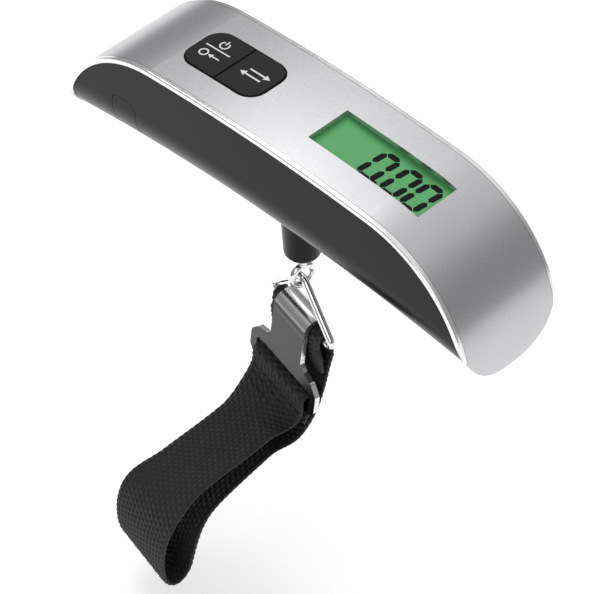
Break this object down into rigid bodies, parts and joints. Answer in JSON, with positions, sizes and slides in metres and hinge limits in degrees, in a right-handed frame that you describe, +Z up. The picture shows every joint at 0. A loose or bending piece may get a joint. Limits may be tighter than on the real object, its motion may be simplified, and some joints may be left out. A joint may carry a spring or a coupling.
{
  "type": "digital luggage scale",
  "caption": "Hand-held luggage scale: curved bar with green display and two keys, load eye below, triangle ring, hook plate and webbing loop for a bag handle.",
  "frame": {"origin": "on the load eye's axis, level with the lowest line of the bar's two ends, inside the hand's grip", "axes": "+Z up against the load, +X along the bar towards the display, -Y the side with the battery latch"},
  "size_m": [0.14, 0.0661, 0.1345],
  "materials": {
    "shell_silver": "satin silver",
    "trim_silver": "bright",
    "housing_black": "semi-gloss",
    "key_black": "satin",
    "inner_plastic": "moulded",
    "display": "green backlit",
    "backlight": "diffuser",
    "contact_rubber": "matt",
    "board_green": "solder mask",
    "chip_black": "moulded",
    "chrome": "polished",
    "steel": "zinc plated",
    "beam_aluminium": "machined",
    "gauge_film": "film",
    "wire_red": "insulation",
    "webbing": "woven polyester"
  },
  "bodies": {
    "bar": {"top_shell": "shell_silver", "trim_front": "trim_silver", "trim_back": "trim_silver", "base_housing": "housing_black", "door_hinge_pin": "steel", "battery_tray": "inner_plastic", "battery_cell": "steel", "battery_contact_minus": "steel", "battery_contact_plus": "steel", "battery_wires": "wire_red", "circuit_board": "board_green", "board_screws": "steel", "controller_chip": "chip_black", "display_glass": "display", "display_backlight": "backlight", "display_frame": "inner_plastic", "display_contact_strips": "contact_rubber", "key_switches": "chip_black", "load_beam": "beam_aluminium", "beam_spacer": "steel", "beam_screws": "steel", "strain_gauges": "gauge_film", "gauge_wires": "wire_red", "housing_screws": "steel", "eye_bush": "inner_plastic", "eye_washer": "steel"},
    "power_button": {"power_key": "key_black"},
    "unit_button": {"unit_key": "key_black"},
    "door": {"battery_door": "housing_black"},
    "eye": {"load_eye": "chrome", "eye_nut": "steel"},
    "ring": {"triangle_ring": "chrome"},
    "strap": {"hook_plate": "chrome", "webbing_loop": "webbing"}
  },
  "joints": [
    {"name": "power_key_press", "type": "slide", "parent": "bar", "child": "power_button", "axis": [0, 0, -1], "range_m": [0, 0.0006], "stiffness_N_per_m": 800},
    {"name": "unit_key_press", "type": "slide", "parent": "bar", "child": "unit_button", "axis": [0, 0, -1], "range_m": [0, 0.0006], "stiffness_N_per_m": 800},
    {"name": "battery_door_hinge", "type": "hinge", "parent": "bar", "child": "door", "pos_m": [-0.0525, 0.01256, 0.0092], "axis": [1, 0, 0], "range_deg": [0, 70]},
    {"name": "eye_swivel", "type": "hinge", "parent": "bar", "child": "eye", "pos_m": [0, 0, 0], "axis": [0, 0, 1], "continuous": true},
    {"name": "ring_swing", "type": "hinge", "parent": "eye", "child": "ring", "pos_m": [0, 0, -0.02055], "axis": [0.9763, -0.2164, 0], "range_deg": [-45, 45]},
    {"name": "strap_swing", "type": "hinge", "parent": "ring", "child": "strap", "pos_m": [0, 0, -0.0346], "axis": [0.9763, -0.2164, 0], "range_deg": [-20, 60]}
  ]
}
